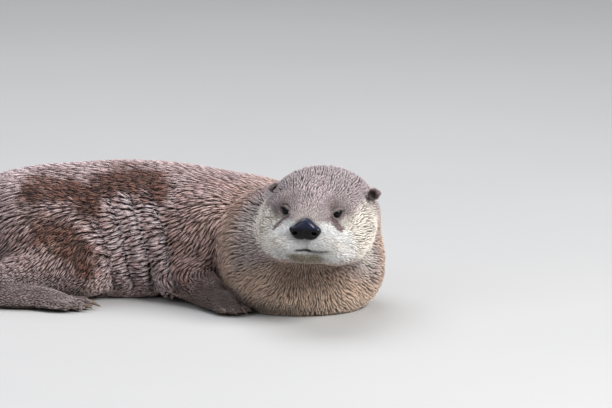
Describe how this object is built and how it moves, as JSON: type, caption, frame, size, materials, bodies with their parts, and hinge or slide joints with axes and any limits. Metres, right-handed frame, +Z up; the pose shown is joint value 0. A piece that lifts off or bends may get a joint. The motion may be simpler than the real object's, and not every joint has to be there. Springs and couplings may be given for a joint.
{
  "type": "river otter model",
  "caption": "Life-size still model of a North American river otter lying on its belly with its head turned to one side, wet brown coat, pale face and a long tapering tail",
  "frame": {"origin": "on the floor under the middle of the bounding box", "axes": "+X towards the head end of the trunk, rump and tail towards -X, -Y the way the face looks, +Z up"},
  "size_m": [0.781, 0.3664, 0.1425],
  "materials": {
    "back_coat": "wet guard hair, glossy, lying back",
    "flank_coat": "wet guard hair, glossy",
    "face_coat": "short close fur",
    "chin_coat": "short pale fur",
    "throat_coat": "damp sandy fur",
    "limb_coat": "short wet fur",
    "paw_skin": "bare dark skin under short fur, dark claws",
    "ear_skin": "dark skin under thin fur",
    "nose_skin": "bare, finely pebbled, moist",
    "eye_surface": "wet, glossy"
  },
  "bodies": {
    "root": {"head": "face_coat", "lower_jaw": "chin_coat", "nose_pad": "nose_skin", "eye_right": "eye_surface", "eye_left": "eye_surface", "ear_right": "ear_skin", "ear_left": "ear_skin", "neck": "back_coat", "throat": "throat_coat", "shoulders": "back_coat", "loin": "flank_coat", "rump": "back_coat", "tail_root": "back_coat", "tail_middle": "back_coat", "tail_tip": "back_coat", "foreleg_right": "limb_coat", "foreleg_left": "limb_coat", "hindleg_right": "limb_coat", "hindleg_left": "limb_coat", "forepaw_right": "paw_skin", "forepaw_left": "paw_skin", "hindpaw_right": "paw_skin", "hindpaw_left": "paw_skin"}
  },
  "joints": []
}
